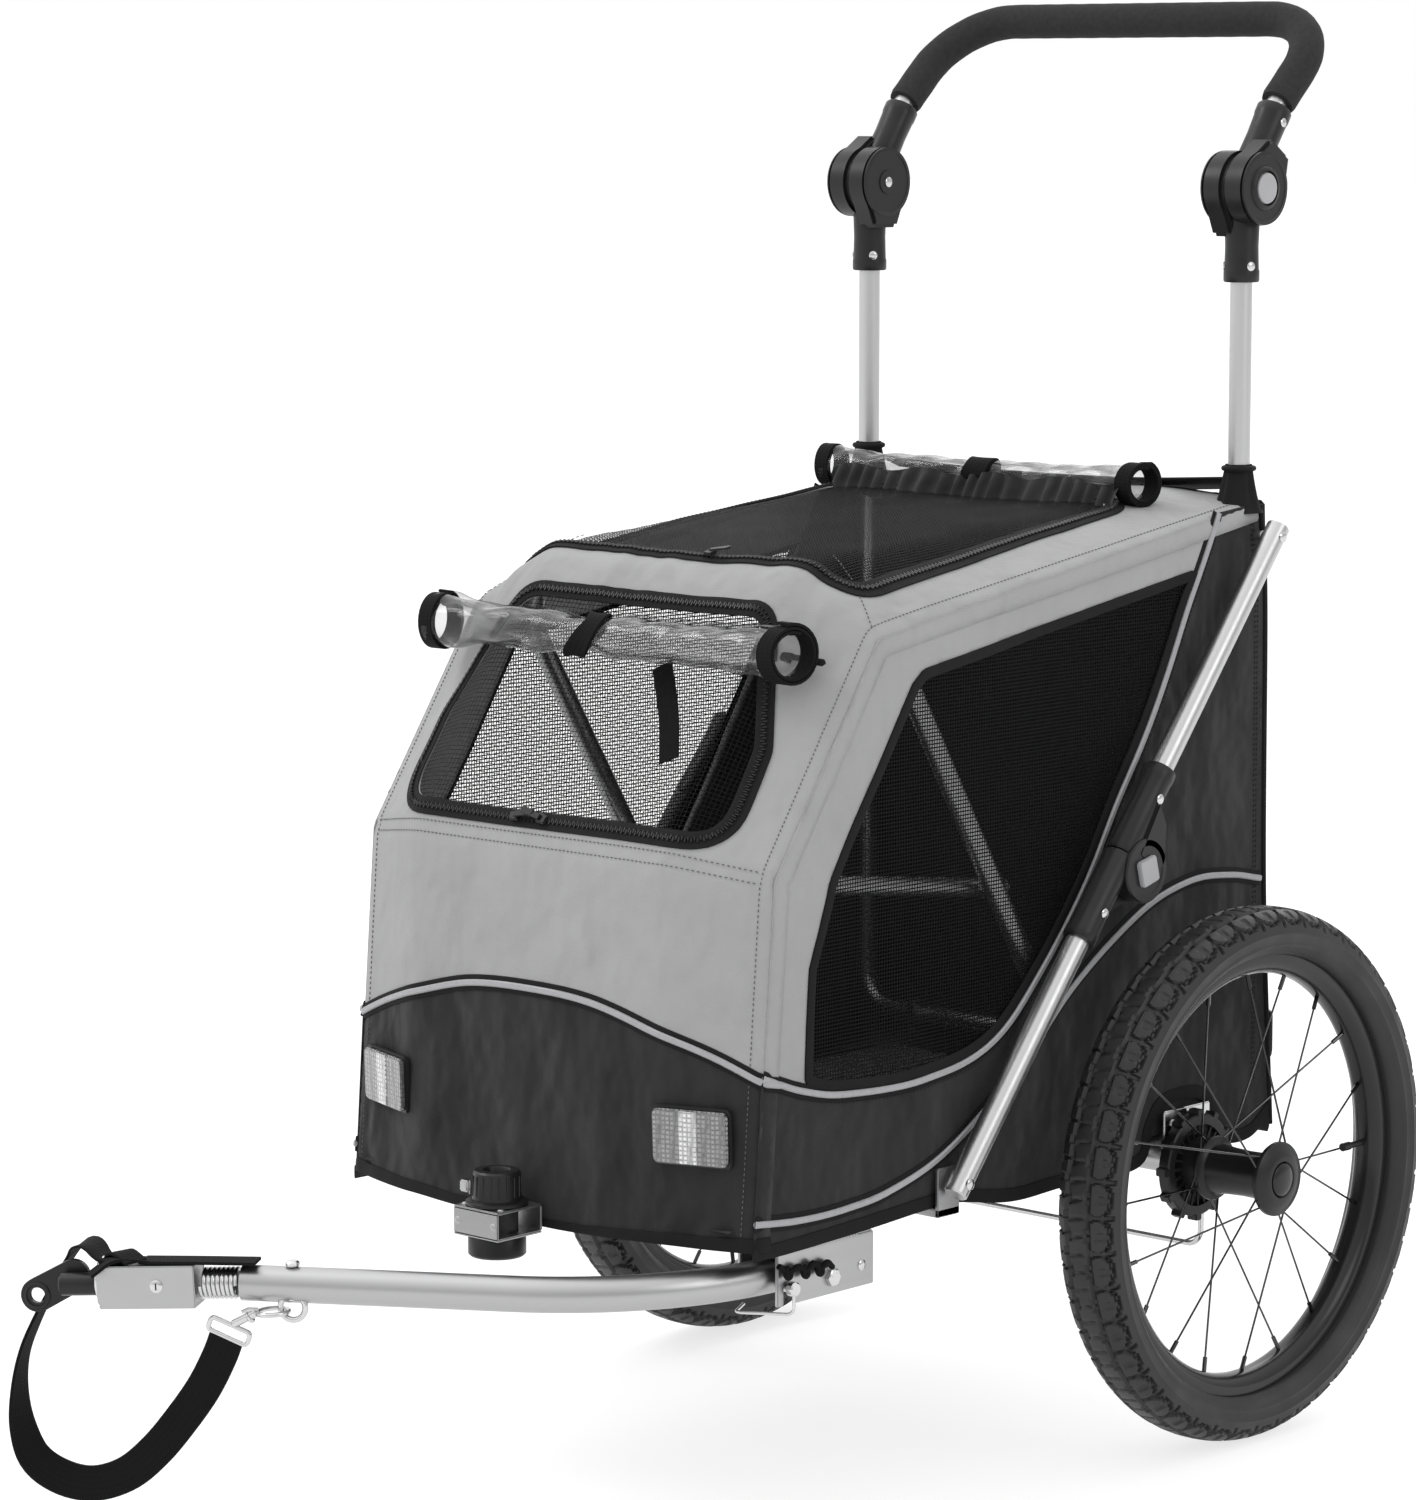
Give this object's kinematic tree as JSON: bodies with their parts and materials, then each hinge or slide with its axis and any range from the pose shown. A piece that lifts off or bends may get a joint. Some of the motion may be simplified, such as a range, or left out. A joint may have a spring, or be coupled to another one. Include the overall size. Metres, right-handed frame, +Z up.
{
  "type": "pet stroller trailer",
  "caption": "Folding pet stroller trailer: fabric cabin on two spoked wheels with a push handle, folding struts and a tow bar.",
  "frame": {"origin": "bottom centre of the bounding box, on the ground under the cabin", "axes": "+Z up, -Y towards the front (towing) end, +X towards the side that carries the tow bar"},
  "size_m": [0.591, 0.9957, 1.0665],
  "materials": {
    "aluminium": "satin anodised",
    "steel": "bright plated",
    "black_plastic": "fine texture",
    "grey_plastic": "fine texture",
    "tyre": "block tread",
    "rim": "satin black",
    "foam": "matt foam",
    "light_fabric": "coated weave",
    "dark_fabric": "coated weave",
    "mesh": "open mesh",
    "clear_film": "clear vinyl",
    "reflector": "prismatic",
    "webbing": "woven webbing",
    "cushion": "quilted",
    "board": "thin panel"
  },
  "bodies": {
    "trailer": {"base_frame": "aluminium", "fabric_cover": "light_fabric", "fabric_tub": "dark_fabric", "floor_board": "board", "floor_cushion": "cushion", "front_bracket": "steel", "front_mesh": "mesh", "front_socket": "black_plastic", "front_window_roll": "clear_film", "left_axle_bracket": "steel", "left_front_reflector": "reflector", "left_rear_reflector": "reflector", "left_side_mesh": "mesh", "right_axle_bracket": "steel", "right_front_reflector": "reflector", "right_rear_reflector": "reflector", "right_side_mesh": "mesh", "roof_mesh": "mesh", "roof_window_roll": "clear_film", "tow_receiver": "aluminium"},
    "brake": {"brake_bar": "steel"},
    "coupling": {"coupler": "aluminium", "safety_strap": "webbing", "strap_hook": "steel"},
    "handlebar": {"foam_grip": "foam", "handle_tube": "aluminium", "left_upper_pivot": "black_plastic", "right_upper_pivot": "black_plastic"},
    "front_release": {"front_catch": "steel"},
    "hoop": {"front_hoop": "aluminium"},
    "hitch": {"hitch_arm": "black_plastic"},
    "left_axle_release": {"left_axle_button": "black_plastic"},
    "left_elbow_release": {"left_elbow_button": "grey_plastic"},
    "left_handle_release": {"left_handle_button": "grey_plastic"},
    "left_wheel": {"left_hub": "black_plastic", "left_rim": "rim", "left_tyre": "tyre"},
    "left_lower_arm": {"left_lower_elbow": "black_plastic", "left_lower_strut": "aluminium"},
    "rear_frame": {"left_lower_pivot": "black_plastic", "right_lower_pivot": "black_plastic", "upright_frame": "aluminium"},
    "left_upper_arm": {"left_upper_elbow": "black_plastic", "left_upper_strut": "aluminium"},
    "nose": {"nose_hoop": "aluminium"},
    "door": {"rear_door": "dark_fabric"},
    "right_axle_release": {"right_axle_button": "black_plastic"},
    "right_elbow_release": {"right_elbow_button": "grey_plastic"},
    "right_handle_release": {"right_handle_button": "grey_plastic"},
    "right_wheel": {"right_hub": "black_plastic", "right_rim": "rim", "right_tyre": "tyre"},
    "right_lower_arm": {"right_lower_elbow": "black_plastic", "right_lower_strut": "aluminium"},
    "right_upper_arm": {"right_upper_elbow": "black_plastic", "right_upper_strut": "aluminium"},
    "towing_arm": {"tow_bar": "aluminium", "tow_spring": "steel"},
    "pin": {"tow_pin": "steel"}
  },
  "joints": [
    {"name": "rear_frame_fold", "type": "hinge", "parent": "trailer", "child": "rear_frame", "pos_m": [0, 0.3657, 0.262], "axis": [1, 0, 0], "range_deg": [0, 75], "deforming": ["fabric_tub", "fabric_cover", "left_side_mesh", "right_side_mesh", "front_mesh", "roof_mesh", "front_window_roll", "roof_window_roll", "floor_cushion", "left_front_reflector", "right_front_reflector", "left_rear_reflector", "right_rear_reflector"]},
    {"name": "handlebar_tilt", "type": "hinge", "parent": "rear_frame", "child": "handlebar", "pos_m": [0, 0.3657, 0.9265], "axis": [1, 0, 0], "range_deg": [-70, 110]},
    {"name": "rear_door_swing", "type": "hinge", "parent": "rear_frame", "child": "door", "pos_m": [0, 0.3852, 0.654], "axis": [1, 0, 0], "range_deg": [0, 100]},
    {"name": "left_wheel_spin", "type": "hinge", "parent": "trailer", "child": "left_wheel", "pos_m": [0.2576, 0.2857, 0.2], "axis": [1, 0, 0], "continuous": true},
    {"name": "left_axle_button_press", "type": "slide", "parent": "trailer", "child": "left_axle_release", "axis": [-1, 0, 0], "range_m": [0, 0.003], "stiffness_N_per_m": 300},
    {"name": "left_handle_button_press", "type": "slide", "parent": "handlebar", "child": "left_handle_release", "axis": [-1, 0, 0], "range_m": [0, 0.004], "stiffness_N_per_m": 300},
    {"name": "left_lower_strut_fold", "type": "hinge", "parent": "trailer", "child": "left_lower_arm", "pos_m": [0.215, 0.0077, 0.231], "axis": [1, 0, 0], "range_deg": [0, 130]},
    {"name": "left_upper_strut_fold", "type": "hinge", "parent": "left_lower_arm", "child": "left_upper_arm", "pos_m": [0.215, 0.20105, 0.43395], "axis": [1, 0, 0], "range_deg": [-158, 0]},
    {"name": "left_elbow_button_press", "type": "slide", "parent": "left_upper_arm", "child": "left_elbow_release", "axis": [-1, 0, 0], "range_m": [0, 0.003], "stiffness_N_per_m": 300},
    {"name": "right_wheel_spin", "type": "hinge", "parent": "trailer", "child": "right_wheel", "pos_m": [-0.2576, 0.2857, 0.2], "axis": [1, 0, 0], "continuous": true},
    {"name": "right_axle_button_press", "type": "slide", "parent": "trailer", "child": "right_axle_release", "axis": [1, 0, 0], "range_m": [0, 0.003], "stiffness_N_per_m": 300},
    {"name": "right_handle_button_press", "type": "slide", "parent": "handlebar", "child": "right_handle_release", "axis": [1, 0, 0], "range_m": [0, 0.004], "stiffness_N_per_m": 300},
    {"name": "right_lower_strut_fold", "type": "hinge", "parent": "trailer", "child": "right_lower_arm", "pos_m": [-0.215, 0.0077, 0.231], "axis": [1, 0, 0], "range_deg": [0, 130]},
    {"name": "right_upper_strut_fold", "type": "hinge", "parent": "right_lower_arm", "child": "right_upper_arm", "pos_m": [-0.215, 0.20105, 0.43395], "axis": [1, 0, 0], "range_deg": [-158, 0]},
    {"name": "right_elbow_button_press", "type": "slide", "parent": "right_upper_arm", "child": "right_elbow_release", "axis": [1, 0, 0], "range_m": [0, 0.003], "stiffness_N_per_m": 300},
    {"name": "front_hoop_fold", "type": "hinge", "parent": "trailer", "child": "hoop", "pos_m": [0, 0.2077, 0.232], "axis": [1, 0, 0], "range_deg": [0, 46]},
    {"name": "nose_hoop_fold", "type": "hinge", "parent": "hoop", "child": "nose", "pos_m": [0, 0.0863, 0.428], "axis": [1, 0, 0], "range_deg": [-41, 0]},
    {"name": "brake_bar_swing", "type": "hinge", "parent": "trailer", "child": "brake", "pos_m": [0, 0.3167, 0.2], "axis": [1, 0, 0], "range_deg": [-35, 5]},
    {"name": "front_catch_press", "type": "slide", "parent": "trailer", "child": "front_release", "axis": [1, 0, 0], "range_m": [0, 0.003], "stiffness_N_per_m": 300},
    {"name": "tow_bar_swing", "type": "hinge", "parent": "trailer", "child": "towing_arm", "pos_m": [0.171, -0.1023, 0.178], "axis": [1, 0, 0], "range_deg": [0, 100]},
    {"name": "tow_pin_slide", "type": "slide", "parent": "towing_arm", "child": "pin", "axis": [1, 0, 0], "range_m": [0, 0.05]},
    {"name": "coupler_flex", "type": "hinge", "parent": "towing_arm", "child": "coupling", "pos_m": [-0.09404, -0.41663, 0.18319], "axis": [0, 0, 1], "range_deg": [-30, 30], "stiffness_Nm_per_rad": 15, "deforming": ["tow_spring", "safety_strap", "strap_hook"]},
    {"name": "hitch_arm_roll", "type": "hinge", "parent": "coupling", "child": "hitch", "pos_m": [-0.13149, -0.44056, 0.18086], "axis": [-0.8415, -0.5377, -0.0523], "continuous": true}
  ],
  "couplings": [
    {"joint": "left_lower_strut_fold", "follows": "rear_frame_fold", "ratio": 1.715},
    {"joint": "left_upper_strut_fold", "follows": "rear_frame_fold", "ratio": -2.09},
    {"joint": "right_lower_strut_fold", "follows": "rear_frame_fold", "ratio": 1.715},
    {"joint": "right_upper_strut_fold", "follows": "rear_frame_fold", "ratio": -2.09},
    {"joint": "front_hoop_fold", "follows": "rear_frame_fold", "ratio": 0.6},
    {"joint": "nose_hoop_fold", "follows": "rear_frame_fold", "ratio": -0.54}
  ]
}
